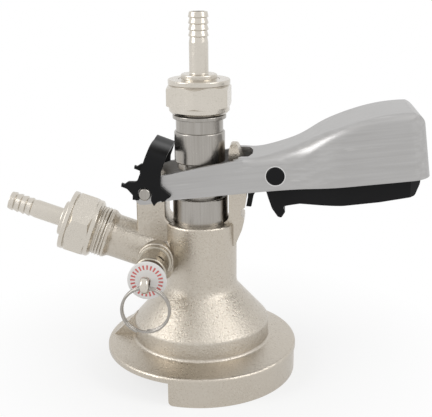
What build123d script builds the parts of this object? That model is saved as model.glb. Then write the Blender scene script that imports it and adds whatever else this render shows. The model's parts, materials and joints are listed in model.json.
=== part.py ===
from build123d import *
import math
import os

os.makedirs("parts", exist_ok=True)

# ---------------------------------------------------------------- sizes, mm
# Fits
running = 0.1
seat = 0.05
side_play = 0.3
# Base that slides on the keg's neck
plate_r = 44.8
plate_edge = 2.2
roof_z = 11.0
skirt_gap = 0.5
skirt_end_x = -10.8
slot_half = 36.5
lip_half = 30.5
lip_h = 3.6
collar_r = 31.7
collar_z = 15.7
collar_top = 24.6
gusset_half = 1.7
gasket_r = 17.0
gasket_t = 3.2
# Bell and barrel
barrel_r = 16.65
bell_top = 41.6
rim_z = 73.0
bore_r = 12.7
saddle_r = 3.4
# Hinge lug and latch post
pin_x = -23.0
pin_z = 88.8
pin_r = 2.75
lug_x = -21.85
lug_r = 6.65
lug_half = 8.0
lug_foot = 60.0
post_x = 13.4
post_half = 6.0
post_top = 109.0
post_foot = 62.0
post_arc = 44.5
post_play = 0.5
# Gas port, a plane whose Z runs out along the port
gas_tilt = 19.43
gas_turn = 2.4
gas_z = 50.4
boss_r = 10.0
flare_r = 11.4
flare_s = 46.4
thread_r = 11.2
nut_s = 51.3
passage_r = 3.0
seat_bore_r = 7.0
# Relief valve, pointing at -Y
valve_beside = 2.95
valve_x = -(barrel_r + valve_beside)
valve_z = 56.5
valve_boss_r = 8.4
valve_face = 13.0
valve_r = 7.2
valve_end = 30.0
spigot_r = 4.9
spigot_foot = 6.2
vent_s = 23.5
vent_long = 3.4
vent_wide = 1.6
vent_turn = 50.0
vents = 3
stem_r = 1.7
guide_r = 2.3
disc_r = 8.5
disc_s = 36.3
disc_t = 1.4
eye_s = 42.6
eye_ball_r = 3.6
eye_half = 1.9
eye_hole_r = 2.25
spring_r = 3.0
spring_wire = 0.45
spring_pitch = 3.0
spring_turns = 5
ring_r = 10.2
ring_wire = 0.62
ring_pitch = 1.34
ring_drop = 1.1
ring_width = 2.6
# Probe
piston_r = bore_r - running
piston_bottom = 57.0
piston_top = 84.7
neck_r = 8.7
shoulder_r = 10.2
sleeve_r = 11.4
sleeve_bottom = 100.5
sleeve_top = 114.5
band_r = 10.6
head_z = 120.3
head_r = 12.0
nut_z = 122.7
tube_r = 8.6
tip_z = 1.5
beer_r = 3.4
ring_d = 1.8
groove_step = 3.2
# Union nut and hose tail, measured from the nut's own foot
nut_flats = 27.0
nut_len = 14.9
nut_foot_r = 13.5
nut_foot_h = 2.8
nut_top_r = 13.8
nut_top_h = 2.6
thread_len = 8.3
washer_t = 1.8
flange_r = 10.6
flange_t = 2.6
nut_hole = 9.2
tail_neck = 8.0
tail_r = 4.25
barb_r = 4.4
barb_root_r = 3.85
beer_reach = 28.9
gas_reach = 27.4
barbs = 4
barb_pitch = 2.7
beer_nut_turn = 27.3
gas_nut_turn = 20.75
# Lever
sheet = 1.8
fork_half = 15.0
grip_half = 19.8
grip_flare = 4.8
web_x = 18.0
web_z = 104.5
lever_end_x = 100.5
lever_end_z = 98.5
end_lean = 0.145
end_r = 8.0
crest_r = 7.0
edge_r = 3.6
trigger_x = 34.3
trigger_z = 97.6
trigger_pin_r = 2.5
head_pin_r = 4.0
driver_r = 4.5
driver_z = (piston_top + sleeve_bottom) / 2
driver_in = neck_r + side_play
clip_t = 2.0
clip_gap = 0.2

# ---------------------------------------------------------------- places
tilt = math.radians(gas_tilt)
sweep_turn = math.radians(gas_turn)
gas_dir = Vector(
    -math.cos(tilt) * math.cos(sweep_turn),
    -math.cos(tilt) * math.sin(sweep_turn),
    math.sin(tilt),
)
gas_side = (math.sin(sweep_turn), -math.cos(sweep_turn), 0)
gas = Plane(origin=(0, 0, gas_z), x_dir=gas_side, z_dir=gas_dir)
valve = Plane(origin=(valve_x, 0, valve_z), x_dir=(1, 0, 0), z_dir=(0, -1, 0))
beer_nut_place = Plane.XY.offset(nut_z)
gas_nut_place = gas.offset(nut_s)
far = 200.0


def face_of(corners, place):
    """Face with the given corners on a plane. A corner's third number is its rounding radius."""
    with BuildSketch(place) as face:
        with BuildLine():
            Polyline(*[c[:2] for c in corners], close=True)
        make_face()
        for x, y, radius in [c for c in corners if len(c) == 3]:
            fillet(face.vertices().sort_by_distance(Vertex(x, y, 0))[0], radius)
    return face.sketch


def turn(corners, place=Plane.XY, mode=Mode.ADD):
    """Revolve (radius, height) corners about a place's Z."""
    side = Plane(origin=place.origin, x_dir=place.x_dir, z_dir=-place.y_dir)
    revolve(face_of(corners, side), axis=Axis(place.origin, place.z_dir), mode=mode)


def ring(r_in, r_out, low, high, place=Plane.XY, mode=Mode.ADD):
    """A plain tube or washer on a place's Z."""
    turn([(r_in, low), (r_out, low), (r_out, high), (r_in, high)], place, mode)


def from_side(corners, half, mode=Mode.ADD):
    """Extrude (x, z) corners both ways from the middle plane."""
    extrude(face_of(corners, Plane.XZ), amount=half, both=True, mode=mode)


def cross_pin(x, z, radius, half, mode=Mode.ADD, start=0.0):
    """Round pin or hole along Y, from the middle plane or from a start distance on each side."""
    for side in (1, -1):
        with BuildSketch(Plane.XZ.offset(side * start)) as end:
            with Locations((x, z)):
                Circle(radius)
        extrude(end.sketch, amount=side * (half - start), mode=mode)


def about_pin(radius, height):
    """The x at which an arc about the hinge pin reaches a height."""
    return pin_x + math.sqrt(radius**2 - (height - pin_z) ** 2)


def end_rims(part):
    """Round edges on the outer ends of a pin."""
    return [e for e in part.edges().filter_by(GeomType.CIRCLE) if abs(e.center().Y) > fork_half + 0.4]


def upright_edges(part, x_low, x_high):
    """Near-vertical straight edges between two x values."""
    return [
        e
        for e in part.edges().filter_by(GeomType.LINE)
        if x_low < e.center().X < x_high and abs(e.tangent_at(0.5).Z) > 0.7 and e.length > 4
    ]


# ---------------------------------------------------------------- body
# Latch post: toothed back, rounded thumb on top
with BuildPart() as post:
    with BuildSketch(Plane.XZ):
        with BuildLine():
            Polyline(
                (post_x - 2, post_foot),
                (barrel_r - 0.4, post_foot),
                (19.4, rim_z - 3.3),
                (20.4, rim_z + 1),
                (20.2, rim_z + 2.6),
                (18.9, rim_z + 3.6),
                (18.9, rim_z + 6),
                (about_pin(post_arc, rim_z + 7.4), rim_z + 7.4),
            )
            ThreePointArc(
                (about_pin(post_arc, rim_z + 7.4), rim_z + 7.4),
                (about_pin(post_arc, pin_z + 5), pin_z + 5),
                (about_pin(post_arc, post_top - 4.0), post_top - 4.0),
            )
            Spline(
                (about_pin(post_arc, post_top - 4.0), post_top - 4.0),
                (post_x + 3.2, post_top),
                (post_x, post_top - 3.4),
                tangents=((pin_z + 4.0 - post_top, about_pin(post_arc, post_top - 4.0) - pin_x), (0, -1)),
            )
            Line((post_x, post_top - 3.4), (post_x, rim_z + saddle_r))
            RadiusArc((post_x, rim_z + saddle_r), (post_x - saddle_r, rim_z), saddle_r)
            Polyline((post_x - saddle_r, rim_z), (post_x - saddle_r, post_foot), (post_x - 2, post_foot))
        make_face()
    extrude(amount=post_half, both=True)
    thumb = [
        (-post_half, post_foot - 1),
        (post_half, post_foot - 1),
        (post_half, post_top + 0.2, 4.6),
        (-post_half, post_top + 0.2, 4.6),
    ]
    extrude(face_of(thumb, Plane.YZ), amount=far, both=True, mode=Mode.INTERSECT)

# Hinge lug, with a concave foot on the rim
with BuildPart() as lug:
    with BuildSketch(Plane.XZ):
        with BuildLine():
            Line((lug_x - lug_r, lug_foot), (lug_x - lug_r, pin_z))
            ThreePointArc((lug_x - lug_r, pin_z), (lug_x, pin_z + lug_r), (lug_x + lug_r, pin_z))
            Line((lug_x + lug_r, pin_z), (lug_x + lug_r, rim_z + saddle_r))
            RadiusArc((lug_x + lug_r, rim_z + saddle_r), (lug_x + lug_r + saddle_r, rim_z), -saddle_r)
            Polyline(
                (lug_x + lug_r + saddle_r, rim_z),
                (lug_x + lug_r + saddle_r, lug_foot),
                (lug_x - lug_r, lug_foot),
            )
        make_face()
    extrude(amount=lug_half, both=True)
    fillet(upright_edges(lug, lug_x - lug_r - 1, lug_x), radius=1.2)

with BuildPart() as body_casting:
    # Skirt with the lips that hold the keg's flange
    with BuildSketch(Plane.XY):
        Circle(plate_r - skirt_gap)
    extrude(amount=roof_z)
    for low, high, half in ((-1, lip_h, lip_half), (lip_h, roof_z, slot_half)):
        with BuildSketch(Plane.XY.offset(low)):
            Circle(half)
            with Locations((-plate_r, 0)):
                Rectangle(2 * plate_r, 2 * half)
        extrude(amount=high - low, mode=Mode.SUBTRACT)
    with BuildSketch(Plane.XY.offset(-1)):
        with Locations((skirt_end_x - plate_r, 0)):
            Rectangle(2 * plate_r, 3 * plate_r)
    extrude(amount=roof_z + 1, mode=Mode.SUBTRACT)
    fillet(
        [
            e
            for e in body_casting.edges().filter_by(Axis.Y)
            if abs(e.center().Z) < 0.01 and abs(e.center().X - skirt_end_x) < 0.01
        ],
        radius=2.0,
    )
    # Plate, collar, bell and barrel, turned as one shape
    turn(
        [
            (0, roof_z),
            (plate_r, roof_z),
            (plate_r, roof_z + plate_edge + 0.4, 1.3),
            (collar_r, collar_z, 1.4),
            (collar_r, collar_top, 2.4),
            (barrel_r, bell_top, 7.0),
            (barrel_r, rim_z, 1.3),
            (0, rim_z),
        ]
    )
    # Gusset on the open side
    from_side(
        [
            (-plate_r + 1.4, roof_z + 2),
            (-collar_r + 0.6, collar_top + 1),
            (-collar_r + 3, roof_z + 2),
        ],
        gusset_half,
    )
    add(post.part)
    add(lug.part)
    # Gas boss
    turn(
        [
            (0, bore_r - 1),
            (boss_r + 1.6, bore_r - 1),
            (boss_r + 1.6, barrel_r, 4.0),
            (boss_r, barrel_r + 6, 4.0),
            (boss_r, flare_s - 3.2, 3.0),
            (flare_r, flare_s - 1.2, 0.6),
            (flare_r, flare_s),
            (thread_r - 0.9, flare_s + 0.6),
            (thread_r, flare_s + 1.2),
            (thread_r, nut_s + thread_len - 0.8),
            (thread_r - 0.8, nut_s + thread_len),
            (0, nut_s + thread_len),
        ],
        gas,
    )
    # Relief valve boss
    turn(
        [
            (0, 0),
            (valve_boss_r, 0),
            (valve_boss_r, valve_face, 0.7),
            (0, valve_face),
        ],
        valve,
    )
    # Main bore, seal groove under the roof, gas way, valve hole, hinge hole
    ring(0, bore_r, roof_z - 1, post_top + 1, mode=Mode.SUBTRACT)
    ring(0, gasket_r, roof_z - 1, roof_z + gasket_t - 0.8, mode=Mode.SUBTRACT)
    ring(0, passage_r, bore_r - 2, nut_s + thread_len + 1, gas, Mode.SUBTRACT)
    ring(0, seat_bore_r, nut_s - 6, nut_s + thread_len + 1, gas, Mode.SUBTRACT)
    ring(0, spigot_r + seat, spigot_foot - 0.7, valve_face + 1, valve, Mode.SUBTRACT)
    ring(0, guide_r + 0.1, 0, spigot_foot, valve, Mode.SUBTRACT)
    cross_pin(pin_x, pin_z, pin_r + seat, lug_half + 1, Mode.SUBTRACT)

# Rubber ring that seals on the keg's flat top
with BuildPart() as keg_gasket:
    ring(bore_r, gasket_r - seat, roof_z - 0.8, roof_z + gasket_t - 0.8 - seat)

# ---------------------------------------------------------------- probe
grooves = (piston_bottom + 2.4, piston_bottom + 2.4 + groove_step)
shoulder_top = driver_z - driver_r - side_play
shoulder_bottom = driver_z + driver_r + side_play
with BuildPart() as probe_body:
    turn(
        [
            (beer_r, tip_z + 2),
            (tube_r - 1.6, tip_z + 2),
            (tube_r - 1.6, tip_z + 4),
            (tube_r, tip_z + 4),
            (tube_r, piston_bottom),
            (piston_r - 1, piston_bottom),
            (piston_r, piston_bottom + 1),
            (piston_r, piston_top, 0.6),
            (shoulder_r, piston_top),
            (shoulder_r, shoulder_top, 0.4),
            (neck_r, shoulder_top),
            (neck_r, shoulder_bottom),
            (shoulder_r, shoulder_bottom, 0.4),
            (shoulder_r, sleeve_bottom - seat),
            (neck_r, sleeve_bottom - seat),
            (neck_r, head_z),
            (beer_r, head_z),
        ]
    )
    for groove in grooves:
        ring(piston_r - ring_d, piston_r + 1, groove, groove + ring_d + 0.2, mode=Mode.SUBTRACT)

with BuildPart() as piston_o_rings:
    for groove in grooves:
        with BuildSketch(Plane.XZ):
            with Locations((piston_r + seat - ring_d / 2, groove + 0.1 + ring_d / 2)):
                Circle(ring_d / 2)
        revolve(axis=Axis.Z)

with BuildPart() as probe_tip_seal:
    turn(
        [
            (beer_r, tip_z),
            (tube_r, tip_z, 0.8),
            (tube_r, tip_z + 4 - seat),
            (tube_r - 1.6 + seat, tip_z + 4 - seat),
            (tube_r - 1.6 + seat, tip_z + 2 - seat),
            (beer_r, tip_z + 2 - seat),
        ]
    )

with BuildPart() as probe_sleeve:
    turn(
        [
            (neck_r + seat, sleeve_bottom),
            (sleeve_r, sleeve_bottom, 0.6),
            (sleeve_r, sleeve_top, 0.6),
            (neck_r + seat, sleeve_top),
        ]
    )

# Head that carries the beer union's thread
with BuildPart() as probe_head:
    turn(
        [
            (neck_r + seat, sleeve_top + seat),
            (band_r, sleeve_top + seat),
            (band_r, head_z - 0.2),
            (head_r, head_z, 0.3),
            (head_r, nut_z - 0.7, 0.5),
            (thread_r - 1.0, nut_z - 0.5),
            (thread_r - 1.0, nut_z + 0.3),
            (thread_r, nut_z + 1.2),
            (thread_r, nut_z + thread_len - 0.8),
            (thread_r - 0.8, nut_z + thread_len),
            (beer_r, nut_z + thread_len),
            (beer_r, head_z + seat),
            (neck_r + seat, head_z + seat),
        ]
    )


def union_nut(place, turn_deg):
    """Hexagon nut between two round collars, threaded from its foot."""
    point_r = nut_flats / 2 / math.cos(math.pi / 6)
    hex_top = nut_len - nut_top_h
    with BuildPart() as nut:
        with BuildSketch(place.offset(nut_foot_h)):
            RegularPolygon(nut_flats / 2, 6, major_radius=False, rotation=turn_deg)
        extrude(amount=hex_top - nut_foot_h)
        # Chamfers that leave an arc on each flat
        turn(
            [
                (0, nut_foot_h),
                (nut_flats / 2 + 0.3, nut_foot_h),
                (point_r + 0.1, nut_foot_h + 1.0),
                (point_r + 0.1, hex_top - 1.4),
                (nut_flats / 2 + 0.1, hex_top),
                (0, hex_top),
            ],
            place,
            Mode.INTERSECT,
        )
        turn(
            [
                (0, 0),
                (nut_foot_r - 1.0, 0),
                (nut_foot_r, 1.0, 0.6),
                (nut_foot_r, nut_foot_h + 0.5),
                (0, nut_foot_h + 0.5),
            ],
            place,
        )
        turn(
            [
                (0, hex_top - 0.5),
                (nut_flats / 2 - 0.1, hex_top - 0.5),
                (nut_flats / 2 - 0.1, hex_top + 0.2),
                (nut_top_r, hex_top + 0.6, 0.2),
                (nut_top_r, nut_len, 0.5),
                (0, nut_len),
            ],
            place,
        )
        ring(0, thread_r + seat, -1, thread_len + washer_t + flange_t + 0.1, place, Mode.SUBTRACT)
        ring(0, nut_hole, 0, nut_len + 1, place, Mode.SUBTRACT)
    return nut.part


def hose_tail(place, reach):
    """Flanged stem whose barbed end takes the hose."""
    foot = thread_len + washer_t
    tip = nut_len + reach
    first = tip - 2.35 - (barbs - 1) * barb_pitch
    corners = [
        (passage_r, foot),
        (flange_r, foot),
        (flange_r, foot + flange_t),
        (nut_hole - 0.1, foot + flange_t),
        (nut_hole - 0.1, nut_len - 0.2),
        (tail_neck, nut_len + 0.2),
        (tail_neck, nut_len + 2.2, 0.6),
        (tail_r, nut_len + 2.2, 0.5),
        (tail_r, first - barb_pitch + 0.1),
        (barb_root_r, first - 0.35),
    ]
    for k in range(barbs):
        edge = first + k * barb_pitch
        corners += [(barb_r, edge), (barb_r, edge + 0.35)]
        if k < barbs - 1:
            corners.append((barb_root_r, edge + barb_pitch - 0.35))
    corners += [(tail_r - 0.25, tip, 0.3), (passage_r, tip)]
    with BuildPart() as tail:
        turn(corners, place)
    return tail.part


def tail_washer(place):
    """Flat washer between the thread's end and the tail's flange."""
    with BuildPart() as washer:
        ring(passage_r + 1.2, flange_r - 0.1, thread_len, thread_len + washer_t, place)
    return washer.part


# One-way rubber valve in the gas port
lip_s = nut_s + thread_len - 2.2
with BuildPart() as gas_check_valve:
    ring(passage_r, seat_bore_r - running, lip_s, nut_s + thread_len, gas)
    with BuildSketch(gas.offset(lip_s)):
        Circle(5.2)
    with BuildSketch(gas.offset(nut_s - 3.5)):
        Rectangle(1.6, 9.6)
    loft()
    ring(0, passage_r, lip_s - 2.2, nut_s + thread_len, gas, Mode.SUBTRACT)

# ---------------------------------------------------------------- relief valve
with BuildPart() as relief_body:
    turn(
        [
            (guide_r, spigot_foot),
            (spigot_r, spigot_foot),
            (spigot_r, valve_face + seat),
            (valve_r + 0.4, valve_face + seat),
            (valve_r + 0.4, valve_face + 2.2, 0.3),
            (valve_r - 0.4, valve_face + 2.4),
            (valve_r - 0.4, valve_end - 4.6),
            (valve_r + 0.2, valve_end - 4.2, 0.2),
            (valve_r + 0.2, valve_end, 0.9),
            (valve_r - 1.6, valve_end),
            (valve_r - 1.8, valve_end + 6.0),
            (guide_r, valve_end + 6.0),
            (guide_r, valve_end + 4.0),
            (4.3, valve_end + 4.0),
            (4.3, valve_face + 1.2),
            (guide_r, valve_face + 1.2),
        ],
        valve,
    )
    # Vents round the side
    for k in range(vents):
        round_by = math.radians(vent_turn + 360 / vents * k)
        out = valve.x_dir * math.cos(round_by) + valve.y_dir * math.sin(round_by)
        vent_place = Plane(
            origin=valve.origin + valve.z_dir * vent_s, x_dir=out.cross(valve.z_dir), z_dir=out
        )
        with BuildSketch(vent_place):
            SlotOverall(vent_long, vent_wide)
        extrude(amount=valve_r + 1, mode=Mode.SUBTRACT)

with BuildPart() as relief_seal:
    ring(guide_r, 4.1, valve_face + 1.3, valve_face + 2.9, valve)

with BuildPart() as relief_stem:
    turn(
        [
            (0, valve_face - 1.0),
            (guide_r - 0.2, valve_face - 1.0),
            (guide_r - 0.2, valve_face + 3.0),
            (4.1, valve_face + 3.0),
            (4.1, valve_face + 4.4),
            (stem_r, valve_face + 4.4),
            (stem_r, eye_s - eye_hole_r - 0.4),
            (0, eye_s - eye_hole_r - 0.4),
        ],
        valve,
    )
    with BuildSketch(Plane(origin=valve.origin + valve.z_dir * eye_s, x_dir=(0, 1, 0), z_dir=(1, 0, 0))):
        Circle(eye_ball_r)
    extrude(amount=eye_half, both=True)
    fillet(
        [
            e
            for e in relief_stem.edges().filter_by(GeomType.CIRCLE)
            if abs(e.radius - eye_ball_r) < 0.01
        ],
        radius=1.2,
    )
    with BuildSketch(Plane(origin=valve.origin + valve.z_dir * eye_s, x_dir=(0, 1, 0), z_dir=(1, 0, 0))):
        Circle(eye_hole_r)
    extrude(amount=eye_half, both=True, mode=Mode.SUBTRACT)

spring_foot = valve_face + 4.4 + spring_wire + side_play
with BuildPart() as relief_spring:
    for k in range(spring_turns):
        with BuildLine():
            coil = Helix(
                pitch=spring_pitch,
                height=spring_pitch,
                radius=spring_r,
                center=valve.origin + valve.z_dir * (spring_foot + k * spring_pitch),
                direction=valve.z_dir,
            )
        with BuildSketch(Plane(origin=coil @ 0, z_dir=coil % 0)):
            Circle(spring_wire)
        sweep(path=coil, is_frenet=True)

with BuildPart() as relief_disc:
    turn(
        [
            (stem_r + seat, disc_s),
            (disc_r, disc_s, 0.3),
            (disc_r, disc_s + disc_t, 0.3),
            (stem_r + seat, disc_s + disc_t),
        ],
        valve,
    )

with BuildPart() as pull_ring:
    with BuildLine():
        wire = Helix(
            pitch=ring_pitch,
            height=ring_width,
            radius=ring_r,
            center=(valve_x, -eye_s + ring_pitch, valve_z - ring_drop - ring_r),
            direction=(0, -1, 0),
        )
    with BuildSketch(Plane(origin=wire @ 0, z_dir=wire % 0)):
        Circle(ring_wire)
    sweep(path=wire, is_frenet=True)

# ---------------------------------------------------------------- lever


def cheek_bottom(x):
    """Height of the lever's straight lower edge."""
    return 90.7 + (x - 31.2) * (98.5 - 90.7) / (lever_end_x - 31.2)


def grip_block(inset):
    """The grip's outer shape, or its inside when inset by the sheet: rounded sections and a leaning end."""
    spread = (grip_half - fork_half) / grip_flare
    stations = [
        (web_x - 2, fork_half - 0.15, web_z - 0.2, 2.0),
        (web_x + 5, fork_half - 0.1, web_z + 0.45, 2.9),
        (31.0, fork_half, 106.3, 4.2),
        (38.0, fork_half + 0.35 * spread, 108.6, 5.5),
        (46.0, fork_half + 1.4 * spread, 111.9, 6.5),
        (54.0, fork_half + 3.4 * spread, 116.3, 5.5),
        (62.0, grip_half - 0.1 * spread, 119.7, 4.4),
        (71.0, grip_half, 122.8, edge_r),
        (80.0, grip_half, 125.1, edge_r),
        (90.0, grip_half, 126.3, edge_r),
        (101.0, grip_half, 126.7, edge_r),
        (lever_end_x + 3.5, grip_half, 126.9, edge_r),
    ]
    low_z = 60.0
    end_x = lever_end_x - inset
    foot_x = end_x + end_lean * (lever_end_z - low_z)
    crest_z = 126.6 - inset
    crest_x = end_x - end_lean * (crest_z - lever_end_z)
    roll = crest_r - inset
    lean_dir = Vector(-end_lean, 1).normalized()
    arc_end = Vector(crest_x, crest_z) - lean_dir * roll
    corner = end_r - inset
    side_y = grip_half - inset
    diagonal = corner * math.sqrt(0.5)
    with BuildPart() as block:
        for x, half, top, radius in stations:
            section = [
                (inset - half, low_z),
                (half - inset, low_z),
                (half - inset, top - inset, radius - inset * 0.8),
                (inset - half, top - inset, radius - inset * 0.8),
            ]
            add(face_of(section, Plane.YZ.offset(x)))
        loft()
        # Rolled crest and leaning end
        with BuildSketch(Plane.XZ) as past_end:
            with BuildLine():
                Polyline(
                    (foot_x, low_z),
                    (far, low_z),
                    (far, far),
                    (crest_x - roll, far),
                    (crest_x - roll, crest_z),
                )
                TangentArc((crest_x - roll, crest_z), (arc_end.X, arc_end.Y), tangent=(1, 0.03))
                Line((arc_end.X, arc_end.Y), (foot_x, low_z))
            make_face()
        extrude(past_end.sketch, amount=2 * grip_half, both=True, mode=Mode.SUBTRACT)
        # Rounded corners that follow the lean
        for s in (1, -1):
            with BuildSketch(Plane.XY.offset(low_z)) as past_corner:
                with BuildLine():
                    Polyline(
                        (foot_x - corner, s * side_y),
                        (foot_x - corner, s * far),
                        (far, s * far),
                        (far, s * (side_y - corner)),
                        (foot_x, s * (side_y - corner)),
                    )
                    ThreePointArc(
                        (foot_x, s * (side_y - corner)),
                        (foot_x - corner + diagonal, s * (side_y - corner + diagonal)),
                        (foot_x - corner, s * side_y),
                    )
                make_face()
            extrude(past_corner.sketch, amount=90, dir=(-end_lean, 0, 1), mode=Mode.SUBTRACT)
        if inset == 0:
            from_side(
                [
                    (-far, cheek_bottom(-far)),
                    (far, cheek_bottom(far)),
                    (far, -far),
                    (-far, -far),
                ],
                2 * grip_half,
                Mode.SUBTRACT,
            )
    return block.part


grip_inside = grip_block(sheet)
grip_outside = grip_block(0)

with BuildPart() as lever:
    # Fork cheeks, sloped at the hinge end
    from_side(
        [
            (web_x + 2, web_z - 0.2),
            (web_x, web_z - 0.3),
            (1.5, 100.8, 20),
            (-14.8, 97, 6),
            (pin_x - 1, pin_z + 5.2, 2),
            (pin_x - 5.2, pin_z + 1, 2),
            (pin_x - 5.2, pin_z - 2, 2),
            (pin_x - 3, pin_z - 5.2, 2),
            (pin_x, pin_z - 5.2),
            (-11.0, cheek_bottom(-11.0)),
            (web_x + 2, cheek_bottom(web_x + 2)),
        ],
        fork_half,
    )
    add(grip_outside)
    add(grip_inside, mode=Mode.SUBTRACT)
    with BuildSketch(Plane.XY.offset(60)) as fork_room:
        with Locations((web_x - 40, 0)):
            Rectangle(80, 2 * (fork_half - sheet))
    extrude(fork_room.sketch, amount=80, mode=Mode.SUBTRACT)
    # Notch that clears the post and probe when the lever is raised
    with BuildSketch(Plane.XY.offset(95)):
        with BuildLine():
            Polyline(
                (web_x - 2, 10.5),
                (22.3, 9.6),
                (24.0, 4),
                (24.0, -4),
                (22.3, -9.6),
                (web_x - 2, -10.5),
                close=True,
            )
        make_face()
    extrude(amount=20, mode=Mode.SUBTRACT)
    cross_pin(pin_x, pin_z, pin_r + running, 40, Mode.SUBTRACT)
    cross_pin(trigger_x, trigger_z, head_pin_r + running, 40, Mode.SUBTRACT)

# Round bosses inside the cheeks that carry the probe up and down
with BuildPart() as lever_drive_discs:
    cross_pin(0, driver_z, driver_r, fork_half - sheet, start=driver_in)

with BuildPart() as hinge_pin:
    cross_pin(pin_x, pin_z, pin_r, fork_half + clip_gap + clip_t)
    chamfer(end_rims(hinge_pin), 0.4)

# Black clip that saddles the hinge
clip_half = fork_half + clip_gap + clip_t
with BuildPart() as hinge_clip:
    from_side(
        [
            (pin_x - 0.4, 101.6, 1.0),
            (pin_x - 3.2, 94.6, 1.5),
            (-30.0, 94.6, 1.0),
            (-31.8, 93.4),
            (-33.0, 93.8),
            (-33.2, 92.4),
            (-30.6, 91.4, 1.5),
            (-28.2, 88.6, 0.5),
            (-28.3, 86.5),
            (-26.4, 86.3, 0.3),
            (-20.2, 86.3, 0.3),
            (-18.9, 83.6, 0.3),
            (-17.4, 85.5, 0.5),
            (-15.6, 86.2, 0.3),
            (-15.2, 85.6),
            (-13.9, 86.0),
            (-13.0, 87.0, 0.3),
            (-11.2, 88.2, 0.3),
            (-13.2, 89.9, 0.5),
            (-15.9, 92.4, 2.0),
            (-15.6, 99.4, 0.8),
        ],
        clip_half,
    )
    with BuildSketch(Plane.XY.offset(70)):
        Rectangle(200, 2 * (fork_half + clip_gap))
    extrude(amount=40, mode=Mode.SUBTRACT)
    lean = math.radians(20)
    arch_place = Plane(origin=(-20.0, 0, 99.5), x_dir=(0, 1, 0), z_dir=(math.cos(lean), 0, -math.sin(lean)))
    with BuildSketch(arch_place) as arch:
        for w, top, m in ((clip_half, 9.6, Mode.ADD), (fork_half + clip_gap, 7.5, Mode.SUBTRACT)):
            with BuildLine():
                Line((-w, 1.0), (-w, -2.2))
                Line((-w, -2.2), (w, -2.2))
                Line((w, -2.2), (w, 1.0))
                Spline((w, 1.0), (0, top), (-w, 1.0), tangents=((0, 1), (-1, 0), (0, -1)))
            make_face(mode=m)
    extrude(amount=4.3, both=True)
    cross_pin(pin_x, pin_z, pin_r + 0.45, 40, Mode.SUBTRACT)
    with BuildSketch(Plane.XZ) as mouth:
        with Locations((pin_x + 0.2, pin_z - 5)):
            Rectangle(5.4, 10)
    extrude(mouth.sketch, amount=40, both=True, mode=Mode.SUBTRACT)

# ---------------------------------------------------------------- trigger
with BuildPart() as trigger:
    from_side(
        [
            (29.9, 100.6, 1.0),
            (38.5, 101.6, 1.0),
            (43.0, 99.0, 2.0),
            (97.0, 102.4),
            (96.4, 95.0, 4.0),
            (94.2, 90.2, 1.5),
            (79.4, 87.4, 20.0),
            (63.7, 85.4, 20.0),
            (45.2, 85.0, 3.0),
            (37.7, 83.3, 0.8),
            (38.9, 80.9, 0.6),
            (37.2, 78.0, 0.9),
            (35.6, 78.6, 0.5),
            (33.0, 82.3, 4.0),
            (31.2, 87.4, 4.0),
            (30.3, 90.3),
        ],
        grip_half,
    )
    with BuildSketch(Plane.XY):
        with BuildLine():
            for s in (1, -1):
                w0 = s * (fork_half - sheet - 0.5)
                w1 = s * (grip_half - sheet - 0.5)
                Line((20, w0), (37, w0))
                Spline((37, w0), (63, w1), tangents=((1, 0), (1, 0)))
                Line((63, w1), (92, w1))
                Line((92, w1), (98, w1 - s * 5))
            Line((20, -w0), (20, w0))
            Line((98, -w1 + 5 * s), (98, w1 - s * 5))
        make_face()
    extrude(amount=140, mode=Mode.INTERSECT)
    # Latch arm whose nose stands behind the post
    from_side(
        [
            (32.0, 100.0),
            (24.6, 94.6),
            (about_pin(post_arc + post_play, pin_z), 90.0),
            (about_pin(post_arc + post_play, pin_z), 84.5),
            (about_pin(post_arc + post_play, 80.8), 80.8),
            (23.6, 80.6, 0.6),
            (24.6, 86.0),
            (26.6, 90.4),
            (32.0, 92.0),
        ],
        post_half - 1,
    )
    cross_pin(trigger_x, trigger_z, trigger_pin_r + running, 40, Mode.SUBTRACT)

with BuildPart() as trigger_pin:
    cross_pin(trigger_x, trigger_z, trigger_pin_r, fork_half + 0.4)
    cross_pin(trigger_x, trigger_z, head_pin_r, fork_half + 0.5, start=fork_half - sheet - 0.2)
    chamfer(end_rims(trigger_pin), 0.3)

parts = {
    "body_casting": body_casting.part,
    "keg_gasket": keg_gasket.part,
    "probe_body": probe_body.part,
    "piston_o_rings": piston_o_rings.part,
    "probe_tip_seal": probe_tip_seal.part,
    "probe_sleeve": probe_sleeve.part,
    "probe_head": probe_head.part,
    "beer_union_nut": union_nut(beer_nut_place, beer_nut_turn),
    "beer_hose_tail": hose_tail(beer_nut_place, beer_reach),
    "beer_tail_washer": tail_washer(beer_nut_place),
    "gas_union_nut": union_nut(gas_nut_place, gas_nut_turn),
    "gas_hose_tail": hose_tail(gas_nut_place, gas_reach),
    "gas_tail_washer": tail_washer(gas_nut_place),
    "gas_check_valve": gas_check_valve.part,
    "relief_body": relief_body.part,
    "relief_seal": relief_seal.part,
    "relief_stem": relief_stem.part,
    "relief_spring": relief_spring.part,
    "relief_disc": relief_disc.part,
    "pull_ring": pull_ring.part,
    "lever": lever.part,
    "lever_drive_discs": lever_drive_discs.part,
    "hinge_pin": hinge_pin.part,
    "hinge_clip": hinge_clip.part,
    "trigger": trigger.part,
    "trigger_pin": trigger_pin.part,
}
for name, part in parts.items():
    part.label = name
    export_step(part, f"parts/{name}.step")
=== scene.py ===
# %% [markdown]
# # A keg coupler in nickel, steel and black plastic
# The packed CAD model brings every part of the coupler at its real size. This notebook gives each
# part its finish, adds the fine shapes that CAD leaves out, and lights the whole for a product
# picture. Nothing that came from CAD is moved, so every pose of the model still works.

import json
import math

import bpy
from mathutils import Matrix, Vector


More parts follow.
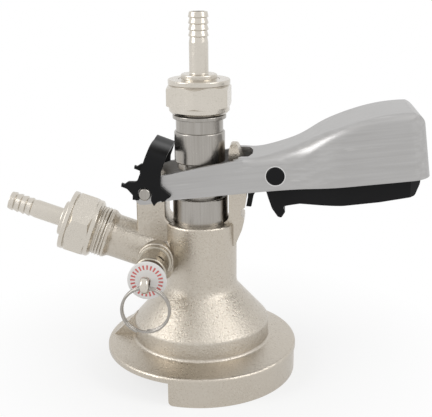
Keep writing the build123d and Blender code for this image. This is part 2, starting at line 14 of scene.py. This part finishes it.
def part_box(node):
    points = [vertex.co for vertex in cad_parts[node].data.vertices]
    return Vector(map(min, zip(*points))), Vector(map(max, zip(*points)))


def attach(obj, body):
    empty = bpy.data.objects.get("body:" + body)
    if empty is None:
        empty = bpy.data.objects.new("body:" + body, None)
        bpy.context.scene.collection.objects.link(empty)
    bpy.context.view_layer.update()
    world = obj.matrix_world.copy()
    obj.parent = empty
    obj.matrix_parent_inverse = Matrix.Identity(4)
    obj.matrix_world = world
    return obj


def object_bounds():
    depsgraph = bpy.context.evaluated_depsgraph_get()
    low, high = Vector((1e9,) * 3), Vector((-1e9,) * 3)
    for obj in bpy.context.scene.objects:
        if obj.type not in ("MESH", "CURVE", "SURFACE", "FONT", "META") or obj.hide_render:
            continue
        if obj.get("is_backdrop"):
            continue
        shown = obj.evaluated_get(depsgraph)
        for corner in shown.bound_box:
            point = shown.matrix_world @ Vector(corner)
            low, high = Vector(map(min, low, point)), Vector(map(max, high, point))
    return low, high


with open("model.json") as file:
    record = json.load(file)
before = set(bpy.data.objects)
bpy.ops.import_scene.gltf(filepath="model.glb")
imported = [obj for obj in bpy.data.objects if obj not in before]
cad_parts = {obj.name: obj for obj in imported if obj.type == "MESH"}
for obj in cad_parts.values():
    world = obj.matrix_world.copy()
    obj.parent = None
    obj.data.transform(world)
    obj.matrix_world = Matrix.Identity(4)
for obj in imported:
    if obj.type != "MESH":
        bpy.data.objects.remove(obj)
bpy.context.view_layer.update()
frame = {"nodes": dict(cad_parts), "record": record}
nodes = frame["nodes"]
print("CAD parts:", len(nodes))

# %% [markdown]
# ## The camera
# A product picture of a small object is taken from about an arm's length with a short telephoto
# lens, a little above the object. The camera is described by the point that it looks at, its
# bearing, its height angle and its distance, because those words say at once how it stands. A full
# matrix would do the same and tell a reader nothing.

# %% Camera
AIM = Vector((0.00773, 0.00064, 0.07775))
BEARING = 4.72
ABOVE = 16.93
AWAY = 0.385
ROLL = -0.34
LENS = 69.6
SENSOR = 36
SHIFT = -0.0032


def place_camera():
    """Stand the camera at its bearing, height angle and distance, rolled a little about its view."""
    bearing, above, roll = math.radians(BEARING), math.radians(ABOVE), math.radians(ROLL)
    level = Vector((math.sin(bearing), -math.cos(bearing), 0))
    back = level * math.cos(above) + Vector((0, 0, math.sin(above)))
    right = Vector((math.cos(bearing), math.sin(bearing), 0))
    up = back.cross(right)
    right, up = right * math.cos(roll) + up * math.sin(roll), up * math.cos(roll) - right * math.sin(roll)
    data = bpy.data.cameras.new("camera")
    data.lens = LENS
    data.sensor_width = SENSOR
    data.shift_x = SHIFT
    camera = bpy.data.objects.new("camera", data)
    bpy.context.scene.collection.objects.link(camera)
    turn = Matrix((right, up, back)).transposed().to_4x4()
    camera.matrix_world = Matrix.Translation(AIM + back * AWAY) @ turn
    bpy.context.scene.camera = camera
    return camera


camera = place_camera()
print("camera at", tuple(round(x, 3) for x in camera.matrix_world.translation))

# %% [markdown]
# ## Writing node graphs as sums
# A finish is mostly arithmetic on a few noises, and arithmetic is hard to follow as boxes and wires.
# `Val` holds one socket, and an expression such as `1 - mask` adds the Math nodes that it needs. The
# other way, a Math node by hand for each sign, takes four lines where this takes one.

# %% Val, one number on a graph


class Val:
    """One number on a node graph, with the operators that this notebook uses."""

    def __init__(self, graph, socket):
        self.graph, self.socket = graph, socket

    def math(self, operation, *terms):
        return self.graph.node("ShaderNodeMath", dict(enumerate(terms)), operation=operation)

    def __add__(self, other):
        return self.math("ADD", self, other)

    def __sub__(self, other):
        return self.math("SUBTRACT", self, other)

    def __rsub__(self, other):
        return self.math("SUBTRACT", other, self)

    def __mul__(self, other):
        return self.math("MULTIPLY", self, other)

    def __gt__(self, other):
        return self.math("GREATER_THAN", self, other)

    def __lt__(self, other):
        return self.math("LESS_THAN", self, other)

    __radd__ = __add__
    __rmul__ = __mul__

    def root(self):
        return self.math("SQRT", self)

    def wrap(self, length):
        return self.math("FLOORED_MODULO", self, length)

    def angle_from(self, across):
        return self.math("ARCTAN2", self, across)


print("beside its operators, Val has", ", ".join(name for name in vars(Val) if not name.startswith("_")))

# %% [markdown]
# ## One method for every other node
# Shaders, the world and Geometry Nodes are all trees of nodes, so one method can make any node in
# any of them. It takes the node's type, then its settings, because a setting can change which
# sockets a node has, and then the values or links of its sockets.

# %% Graph, a tree of nodes


class Graph:
    """A node tree of any kind."""

    def __init__(self, tree):
        self.tree = tree
        tree.nodes.clear()

    def node(self, kind, inputs, out=0, **settings):
        """Make a node and return one of its outputs, or a list of them where out is a tuple."""
        made = self.tree.nodes.new(kind)
        for name, value in settings.items():
            setattr(made, name, value)
        for key, value in inputs.items():
            if isinstance(value, Val):
                self.tree.links.new(value.socket, made.inputs[key])
            else:
                made.inputs[key].default_value = value
        if isinstance(out, tuple):
            return [Val(self, made.outputs[key]) for key in out]
        return Val(self, made.outputs[out])


print("every node comes from", Graph.node.__qualname__)

# %% [markdown]
# ## A sheet for each finish
# The metals and plastics here are all built from the same few steps: place a pattern on the object,
# mix two tones by it, and raise it as a bump. The patterns sit on the object's own coordinates, which
# are real metres on a CAD part, so a grain of a certain size is the same size on every part.

# %% Sheet, a material's graph


def rgb(red, green, blue):
    return (red, green, blue, 1.0)


class Sheet(Graph):
    """A material's node graph, with the object's own coordinates at hand."""

    def __init__(self, name):
        self.material = bpy.data.materials.new(name)
        self.material.use_nodes = True
        super().__init__(self.material.node_tree)
        self.place = self.node("ShaderNodeTexCoord", {}, out="Object")

    def axes(self, middle=(0, 0, 0)):
        """X, Y and Z of the object's own space, counted from a point."""
        moved = self.node("ShaderNodeVectorMath", {0: self.place, 1: tuple(middle)}, operation="SUBTRACT")
        return self.node("ShaderNodeSeparateXYZ", {0: moved}, out=(0, 1, 2))

    def noise(self, scale, detail=3, rough=0.5, at=None, squash=(1, 1, 1)):
        where = self.node("ShaderNodeVectorMath", {0: at or self.place, 1: squash}, operation="MULTIPLY")
        inputs = {"Vector": where, "Scale": scale, "Detail": detail, "Roughness": rough}
        return self.node("ShaderNodeTexNoise", inputs)

    def fade(self, value, start, stop, low, high=1.0):
        """Low up to start and high from stop on, with a slope between. Start may be past stop."""
        inputs = {"Value": value, "From Min": start, "From Max": stop, "To Min": low, "To Max": high}
        return self.node("ShaderNodeMapRange", inputs)

    def blend(self, amount, first, second):
        inputs = {0: amount, 6: first, 7: second}
        return self.node("ShaderNodeMix", inputs, out=2, data_type="RGBA", clamp_factor=True)

    def bump(self, height, strength, depth, under=None):
        inputs = {"Height": height, "Strength": strength, "Distance": depth}
        if under is not None:
            inputs["Normal"] = under
        return self.node("ShaderNodeBump", inputs)

    def show(self, shader):
        self.node("ShaderNodeOutputMaterial", {"Surface": shader}, out=())
        return self.material

    def surface(self, **values):
        """Close the sheet with a Principled shader, whose sockets are given by their names."""
        names = {key.replace("_", " ").title().replace("Ior", "IOR"): value for key, value in values.items()}
        return self.show(self.node("ShaderNodeBsdfPrincipled", names))


materials = {}


def keep(slot, material):
    """Keep a finish under the name of the material slot that it is for."""
    materials[slot] = material
    print(material.name, "has", len(material.node_tree.nodes), "shader nodes")


print("steps on a sheet:", ", ".join(name for name in vars(Sheet) if not name.startswith("_")))

# %% [markdown]
# ## Sand-cast, nickel-plated body
# The body is poured brass, tumbled and nickel plated. The plating follows every grain of the sand
# mould, so the surface is a soft satin with fine pits. One noise for the grain drives gloss and bump
# together, as on a real casting, and also tone: a painted highlight on its crests, painted shade in its
# hollows.
# It is strongest from the top of the collar up the bell, and calmer on the base and up the barrel, so
# two slopes along Z turn it down there.

# %% Cast nickel
CAST_DARK, CAST_LIGHT = rgb(0.48, 0.43, 0.36), rgb(0.55, 0.505, 0.44)
# Tones of the painted highlight on the grain's crests and the painted shade in its hollows.
CAST_PAINTED_HIGHLIGHT, CAST_PAINTED_SHADE = rgb(0.66, 0.62, 0.56), rgb(0.27, 0.225, 0.17)
BASE_CALM, BASE_GRAINY = 0.013, 0.020
BELL_GRAINY, BARREL_CALM = 0.034, 0.056
MIDDLE_GRAIN = 0.42
PIT_RADIUS = 0.16


def cast_nickel():
    s = Sheet("cast_nickel")
    grain = s.noise(scale=1150, rough=0.65)
    fine = s.noise(scale=2600, detail=2, rough=0.6)
    wave = s.noise(scale=170)
    cloud = s.noise(scale=38)
    pit = s.node("ShaderNodeTexVoronoi", {"Vector": s.place, "Scale": 900}, out="Distance")
    _, _, height = s.axes(middle=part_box("body_casting")[0])
    upper = s.fade(height, BARREL_CALM, BELL_GRAINY, low=0.62)
    base = s.fade(height, BASE_CALM, BASE_GRAINY, low=0.5)
    zone = upper * base
    tone = s.blend(cloud, CAST_DARK, CAST_LIGHT)
    # Painted highlight on the grain's crests and painted shade in its hollows, both stronger where the zone
    # is.
    tone = s.blend((grain - MIDDLE_GRAIN) * 2.0 * zone, tone, CAST_PAINTED_HIGHLIGHT)
    tone = s.blend((MIDDLE_GRAIN - grain) * 2.3 * zone, tone, CAST_PAINTED_SHADE)
    rough = 0.20 + grain * 0.12 + cloud * 0.06
    normal = s.bump(wave, strength=0.25, depth=0.0010)
    normal = s.bump(grain * zone, strength=0.50, depth=0.00065, under=normal)
    normal = s.bump(fine, strength=0.25, depth=0.0002, under=normal)
    normal = s.bump((pit < PIT_RADIUS) * -1.0, strength=0.12, depth=0.0001, under=normal)
    return s.surface(base_color=tone, metallic=1.0, roughness=rough, normal=normal)


keep("cast_nickel", cast_nickel())

# %% [markdown]
# ## Turned nickel
# Nuts, hose tails and the relief valve are turned from bar and plated. They are smoother than the
# casting, with faint tool lines and small nicks from the spanner. The lines are a noise squashed
# across X and Y, which leaves it changing along Z like the marks of a lathe. The relief valve is a
# darker nickel, so the same function makes it with other tones.

# %% Turned nickel
TURNED_ROUGH = 0.20
HOLLOW_SHADE = 0.62


def turned_nickel(name, dark, light, lines_per_metre):
    s = Sheet(name)
    lines = s.noise(scale=lines_per_metre, detail=2, squash=(0.15, 0.15, 1.0))
    cloud = s.noise(scale=55)
    nick = s.noise(scale=420, detail=2, rough=0.4)
    grain = s.noise(scale=1700, rough=0.6)
    tone = s.blend(cloud, rgb(*dark), rgb(*light))
    # Painted shade: the hollows of the grain are darkened towards a darker copy of the dark tone.
    tone = s.blend((0.44 - grain) * 2.4, tone, rgb(*[part * HOLLOW_SHADE for part in dark]))
    rough = TURNED_ROUGH + lines * 0.05 + (nick > 0.66) * 0.08
    normal = s.bump(lines, strength=0.12, depth=0.0001)
    normal = s.bump(nick, strength=0.08, depth=0.0003, under=normal)
    normal = s.bump(grain, strength=0.22, depth=0.0003, under=normal)
    return s.surface(base_color=tone, metallic=1.0, roughness=rough, normal=normal)


keep("valve_nickel", turned_nickel("valve_nickel", (0.41, 0.37, 0.305), (0.50, 0.46, 0.39), 1500))
keep("smooth_nickel", turned_nickel("smooth_nickel", (0.58, 0.54, 0.475), (0.66, 0.62, 0.56), 1800))

# %% [markdown]
# ## Polished steel
# The probe with its sleeve and head, the hinge pin, the pull ring and the spring are polished
# stainless steel. The probe slides up and down in the body and has upright marks, so one noise is
# stretched along Z, and a second one, squashed the other way, gives the rings of the lathe under them.

# %% Polished steel
POLISHED_DARK, POLISHED_LIGHT = rgb(0.32, 0.3, 0.272), rgb(0.376, 0.356, 0.328)
POLISHED_MARK = rgb(0.464, 0.444, 0.416)


def polished_steel():
    s = Sheet("polished_steel")
    marks = s.noise(scale=900, rough=0.6, squash=(1.0, 1.0, 0.02))
    rings = s.noise(scale=2400, detail=2, squash=(0.1, 0.1, 1.0))
    cloud = s.noise(scale=60)
    tone = s.blend(cloud, POLISHED_DARK, POLISHED_LIGHT)
    tone = s.blend((marks - 0.40) * 1.8, tone, POLISHED_MARK)
    rough = 0.20 + marks * 0.10 + (cloud - 0.5) * 0.1
    normal = s.bump(marks, strength=0.12, depth=0.0002)
    normal = s.bump(rings, strength=0.06, depth=0.0001, under=normal)
    return s.surface(base_color=tone, metallic=1.0, roughness=rough, normal=normal)


keep("polished_steel", polished_steel())

# %% [markdown]
# ## Brushed lever
# The lever is pressed stainless sheet, brushed along its length by an abrasive belt. Long thin noise,
# stretched along the lever, gives the uneven gloss, the fine scratches and a few long bright ones.
# The coordinates are turned a little first, so the brushing runs with the lever's rise. Around the head
# of the trigger's pin the lever gets a painted highlight, a bright rim drawn by the distance from the pin's
# axis.

# %% Brushed steel
BRUSHED_DARK, BRUSHED_LIGHT = rgb(0.392, 0.383, 0.374), rgb(0.444, 0.439, 0.435)
BRUSHED_STREAK, BRUSHED_SCRATCH = rgb(0.522, 0.518, 0.513), rgb(0.574, 0.566, 0.557)
# Tone of the painted highlight on the rim around the trigger pin's head.
PIN_RIM_HIGHLIGHT = rgb(0.696, 0.687, 0.679)
RIM_INSIDE, RIM_OUTSIDE = 0.0039, 0.00445
BRUSH_LEAN = math.radians(6.4)


def brushed_steel():
    s = Sheet("lever_steel")
    turn = {"Vector": s.place, "Rotation": (0, BRUSH_LEAN, 0)}
    along = s.node("ShaderNodeVectorRotate", turn, rotation_type="EULER_XYZ")
    brush = s.noise(scale=2600, detail=4, rough=0.7, at=along, squash=(0.02, 1.0, 1.0))
    broad = s.noise(scale=700, rough=0.6, at=along, squash=(0.03, 1.0, 1.0))
    scratch = s.noise(scale=420, detail=2, rough=0.4, at=along, squash=(0.12, 1.0, 1.0))
    cloud = s.noise(scale=30)
    low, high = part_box("trigger_pin")
    x, _, z = s.axes(middle=(low + high) / 2)
    from_pin = (x * x + z * z).root()
    rim = (from_pin > RIM_INSIDE) * (from_pin < RIM_OUTSIDE)
    tone = s.blend(cloud, BRUSHED_DARK, BRUSHED_LIGHT)
    tone = s.blend((broad - 0.35) * 1.4, tone, BRUSHED_STREAK)
    tone = s.blend((scratch - 0.66) * 6.0, tone, BRUSHED_SCRATCH)
    # Painted highlight on the rim around the pin's head, where the edge of the lever's hole catches light.
    tone = s.blend(rim, tone, PIN_RIM_HIGHLIGHT)
    rough = 0.32 + broad * 0.14 - rim * 0.1
    normal = s.bump(brush, strength=0.30, depth=0.00015)
    normal = s.bump(broad, strength=0.22, depth=0.0003, under=normal)
    return s.surface(base_color=tone, metallic=1.0, roughness=rough, normal=normal)


keep("lever_steel", brushed_steel())

# %% [markdown]
# ## Black plastic
# The trigger, its pin and the hinge clip are moulded in black plastic with a light satin and a fine
# orange peel. The specular level is well below the usual half, because a white room would otherwise
# turn the black to grey.

# %% Black plastic
BLACK_SPECULAR = 0.14


def black_plastic():
    s = Sheet("black_plastic")
    peel = s.noise(scale=900, detail=2)
    cloud = s.noise(scale=60)
    tone = s.blend(cloud, rgb(0.0045, 0.0045, 0.005), rgb(0.008, 0.008, 0.0085))
    normal = s.bump(peel, strength=0.10, depth=0.0002)
    rough = 0.34 + cloud * 0.12
    return s.surface(
        base_color=tone, metallic=0.0, roughness=rough, specular_ior_level=BLACK_SPECULAR, normal=normal
    )


keep("black_plastic", black_plastic())

# %% [markdown]
# ## Seals and washers
# Seals are matt black rubber, and the hose tails sit on off-white washers. Both are a soft cloud of
# two near tones with a little bump, so one function makes them from their tones and roughness.

# %% Rubber and washers


def soft_finish(name, dark, light, scale, rough, spread, strength, depth):
    s = Sheet(name)
    cloud = s.noise(scale=scale)
    tone = s.blend(cloud, dark, light)
    normal = s.bump(cloud, strength, depth)
    return s.surface(base_color=tone, roughness=rough + cloud * spread, normal=normal)


RUBBER = {"dark": rgb(0.016, 0.016, 0.017), "light": rgb(0.035, 0.035, 0.036)}
WASHER = {"dark": rgb(0.62, 0.61, 0.58), "light": rgb(0.72, 0.71, 0.69)}
keep(
    "seal_rubber",
    soft_finish("seal_rubber", **RUBBER, scale=120, rough=0.6, spread=0.15, strength=0.1, depth=0.0003),
)
keep(
    "white_washer",
    soft_finish("white_washer", **WASHER, scale=150, rough=0.45, spread=0.1, strength=0.08, depth=0.0003),
)

# %% [markdown]
# ## The marked disc
# A white disc stands in front of the relief valve and carries a plain ring of red dashes. The ring
# could be an image, but arithmetic is sharper: the distance from the middle says where the ring lies,
# and the angle round the middle, wrapped at each dash, says which part of it is red.

# %% Disc with red dashes
DASHES = 24
DASH_GAP = math.tau / 44
RING_INSIDE, RING_OUTSIDE = 0.60, 0.84
DASH_RED = rgb(0.62, 0.13, 0.12)


def white_disc():
    s = Sheet("white_disc")
    low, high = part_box("relief_disc")
    x, _, z = s.axes(middle=(low + high) / 2)
    edge = (high.x - low.x) / 2
    radius = (x * x + z * z).root()
    band = (radius > edge * RING_INSIDE) * (radius < edge * RING_OUTSIDE)
    dash = (z.angle_from(x).wrap(math.tau / DASHES) > DASH_GAP) * band
    cloud = s.noise(scale=200)
    tone = s.blend(cloud, rgb(0.74, 0.72, 0.70), rgb(0.82, 0.81, 0.79))
    tone = s.blend(dash, tone, DASH_RED)
    normal = s.bump(cloud, strength=0.05, depth=0.0002)
    return s.surface(base_color=tone, roughness=0.35 + cloud * 0.1, normal=normal)


keep("white_disc", white_disc())

# %% [markdown]
# ## Handing out the finishes
# The record names a material slot for each part, so the finishes go on by that name and no part can
# be missed. Only the relief valve's body then changes its nickel for the darker one.

# %% Assign
parts = frame["record"]["subparts"]
for part in parts:
    mesh = nodes[part["node"]].data
    mesh.materials.clear()
    mesh.materials.append(materials[part["material_slot"]])
    mesh.polygons.foreach_set("material_index", [0] * len(mesh.polygons))
nodes["relief_body"].data.materials[0] = materials["valve_nickel"]
print("finishes on", len(parts), "parts")

# %% [markdown]
# ## A thread as a rule
# A few turns of thread stand free between the casting and the gas union nut. A thread is one ridge
# that follows a helix, so a short Geometry Nodes tree sweeps a small four-sided profile along a
# spiral. It could be drawn point by point, but then another pitch would mean drawing it again. Here
# the turns, the pitch and the radius are inputs, and the same tree makes any other thread.

# %% The thread's tree
RIDGE_SIDES = 4
STEPS_A_TURN = 72


def thread_tree():
    tree = bpy.data.node_groups.new("thread_ridge", "GeometryNodeTree")
    sizes = ("Turns", "Pitch", "Radius", "Ridge")
    tree.interface.new_socket("Geometry", in_out="OUTPUT", socket_type="NodeSocketGeometry")
    for name in sizes:
        tree.interface.new_socket(name, in_out="INPUT", socket_type="NodeSocketFloat")
    tree.interface.new_socket("Finish", in_out="INPUT", socket_type="NodeSocketMaterial")
    g = Graph(tree)
    turns, pitch, radius, ridge, finish = g.node("NodeGroupInput", {}, out=sizes + ("Finish",))
    helix = {"Resolution": STEPS_A_TURN, "Rotations": turns, "Height": turns * pitch}
    helix.update({"Start Radius": radius, "End Radius": radius})
    path = g.node("GeometryNodeCurveSpiral", helix)
    profile = g.node("GeometryNodeCurvePrimitiveCircle", {"Resolution": RIDGE_SIDES, "Radius": ridge})
    sweep = {"Curve": path, "Profile Curve": profile, "Fill Caps": True}
    swept = g.node("GeometryNodeCurveToMesh", sweep)
    real = g.node("GeometryNodeRealizeInstances", {"Geometry": swept})
    done = g.node("GeometryNodeSetMaterial", {"Geometry": real, "Material": finish})
    g.node("NodeGroupOutput", {"Geometry": done}, out=())
    return tree


ridge_tree = thread_tree()
print("thread tree has", len(ridge_tree.nodes), "nodes")

# %% [markdown]
# ## From a tree to a plain mesh
# A Geometry Nodes modifier lives on an object and is worked out anew each time. A finished piece has
# to be a plain mesh, so the tree runs once on an empty holder, its result is copied, and the holder
# goes away with its modifier. An input is set by its identifier, because a name can occur twice.

# %% Growing a piece


def grow(tree, name, place, **inputs):
    """Run a tree with the given inputs and keep its result as a plain mesh at a place."""
    holder = bpy.data.objects.new(name + "_grow", bpy.data.meshes.new(name + "_seed"))
    bpy.context.scene.collection.objects.link(holder)
    modifier = holder.modifiers.new("grow", "NODES")
    modifier.node_group = tree
    for item in tree.interface.items_tree:
        if item.in_out == "INPUT":
            modifier[item.identifier] = inputs[item.name]
    ready = holder.evaluated_get(bpy.context.evaluated_depsgraph_get())
    mesh = bpy.data.meshes.new_from_object(ready)
    bpy.data.objects.remove(holder)
    mesh.name = name
    mesh.transform(place)
    piece = bpy.data.objects.new(name, mesh)
    bpy.context.scene.collection.objects.link(piece)
    return piece


print("inputs to give:", [item.name for item in ridge_tree.interface.items_tree if item.in_out == "INPUT"])

# %% [markdown]
# ## The gas port's thread
# The gas port leans out of the body towards its hose tail. The record says which way the tail points,
# so the thread takes its direction from there and can't drift from the port. The middle of the ridge
# lies just under the port's wall, so that only its crest stands out, by about half a millimetre.

# %% Gas port thread
PORT_FOOT = Vector((0, 0, 0.0504))
THREAD_START, THREAD_STOP = 0.0456, 0.0511
PITCH = 0.00141
THREAD_RADIUS = 0.0110
RIDGE = 0.00072

gas_tail = next(mount for mount in frame["record"]["mounts"] if mount["name"] == "gas_tail")
outward = Vector(gas_tail["axis"]).normalized()
port_turn = outward.to_track_quat("Z", "Y").to_matrix().to_4x4()
thread = grow(
    ridge_tree,
    "gas_port_thread",
    Matrix.Translation(PORT_FOOT + outward * THREAD_START) @ port_turn,
    Turns=(THREAD_STOP - THREAD_START) / PITCH,
    Pitch=PITCH,
    Radius=THREAD_RADIUS,
    Ridge=RIDGE,
    Finish=materials["smooth_nickel"],
)
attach(thread, "body")
print("thread faces:", len(thread.data.polygons))

# %% [markdown]
# ## What a white room looks like to metal
# Bright metal shows the room more than itself. The room is a calm grey where it lights the object and
# pure white where it is looked at, straight on, in a mirror or through glass. Light Path tells the
# kinds of ray apart. Were only the camera's rays white, the metal would reflect a grey room that
# the camera itself never sees.

# %% Rays that see the background
WHITE = rgb(1, 1, 1)
SEEN = ("Is Camera Ray", "Is Glossy Ray", "Is Transmission Ray")


def seen_directly(graph):
    """1 for rays from the camera, a mirror or through glass, and 0 for the rest."""
    camera_ray, glossy_ray, through_ray = graph.node("ShaderNodeLightPath", {}, out=SEEN)
    return graph.node("ShaderNodeClamp", {"Value": camera_ray + glossy_ray + through_ray})


print("white for:", ", ".join(SEEN))

# %% [markdown]
# ## The floor
# The floor is pale paper that catches the object's shadow. Close to the object the paper itself
# shows through, and further out it fades to the room's white, so it has no edge. A floor that was
# white everywhere would lose the shadow, and the object would seem to float.

# %% Floor
FLOOR_HALF = 3.0
FLOOR_GAP = 0.0002
PAPER_TONE = rgb(0.86, 0.86, 0.86)
FADE_START, FADE_STOP = 0.05, 0.14
WHITE_NEAR = 0.74


def floor_paper():
    s = Sheet("floor_paper")
    x, y, _ = s.axes()
    spread = s.fade((x * x + y * y).root(), FADE_START, FADE_STOP, low=WHITE_NEAR)
    paper = s.node("ShaderNodeBsdfDiffuse", {"Color": PAPER_TONE})
    white = s.node("ShaderNodeEmission", {"Color": WHITE, "Strength": 1.0})
    return s.show(s.node("ShaderNodeMixShader", {0: seen_directly(s) * spread, 1: paper, 2: white}))


def add_floor():
    r, z = FLOOR_HALF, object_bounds()[0][2] - FLOOR_GAP
    mesh = bpy.data.meshes.new("floor")
    mesh.from_pydata([(-r, -r, z), (r, -r, z), (r, r, z), (-r, r, z)], [], [(0, 1, 2, 3)])
    mesh.materials.append(floor_paper())
    floor = bpy.data.objects.new("floor", mesh)
    bpy.context.scene.collection.objects.link(floor)
    floor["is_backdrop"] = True
    return floor


floor = add_floor()
print("floor at height", round(floor.data.vertices[0].co.z, 4))

# %% [markdown]
# ## The room
# The world gives the even light of a white tent. For the object it is kept well under full strength,
# because the lamps add to it, and the two together should show a colour about as it is written.

# %% World
ROOM_LIGHT = 0.62


def set_world():
    world = bpy.data.worlds.new("studio")
    world.use_nodes = True
    bpy.context.scene.world = world
    g = Graph(world.node_tree)
    room = g.node("ShaderNodeBackground", {"Color": WHITE, "Strength": ROOM_LIGHT})
    backdrop = g.node("ShaderNodeBackground", {"Color": WHITE, "Strength": 1.0})
    mixed = g.node("ShaderNodeMixShader", {0: seen_directly(g), 1: room, 2: backdrop})
    g.node("ShaderNodeOutputWorld", {"Surface": mixed}, out=())


set_world()
print("room light:", ROOM_LIGHT)

# %% [markdown]
# ## Two soft boxes
# A large lamp on each side gives the metal its broad highlights, one low and strong, one higher and
# weaker, so that a round part has a bright side and a calm side. A small lamp would leave hard hot
# spots on turned metal.

# %% Lamps
BOX_SIZE = (0.36, 0.6)
BOX_AIM = Vector((0, 0, 0.07))


def add_lamp(name, place, power):
    data = bpy.data.lights.new(name, "AREA")
    data.shape = "RECTANGLE"
    data.size, data.size_y = BOX_SIZE
    data.energy = power
    lamp = bpy.data.objects.new(name, data)
    lamp.location = place
    lamp.rotation_euler = (BOX_AIM - Vector(place)).to_track_quat("-Z", "Y").to_euler()
    bpy.context.scene.collection.objects.link(lamp)


add_lamp("left_box", (-0.62, -0.30, 0.48), 2.2)
add_lamp("right_box", (0.56, -0.24, 0.62), 1.8)

# %% [markdown] ## Closing The Standard view shows a colour as it is written, where a film-like
# view would bend it.

# %% Finish
bpy.context.scene.view_settings.view_transform = "Standard"
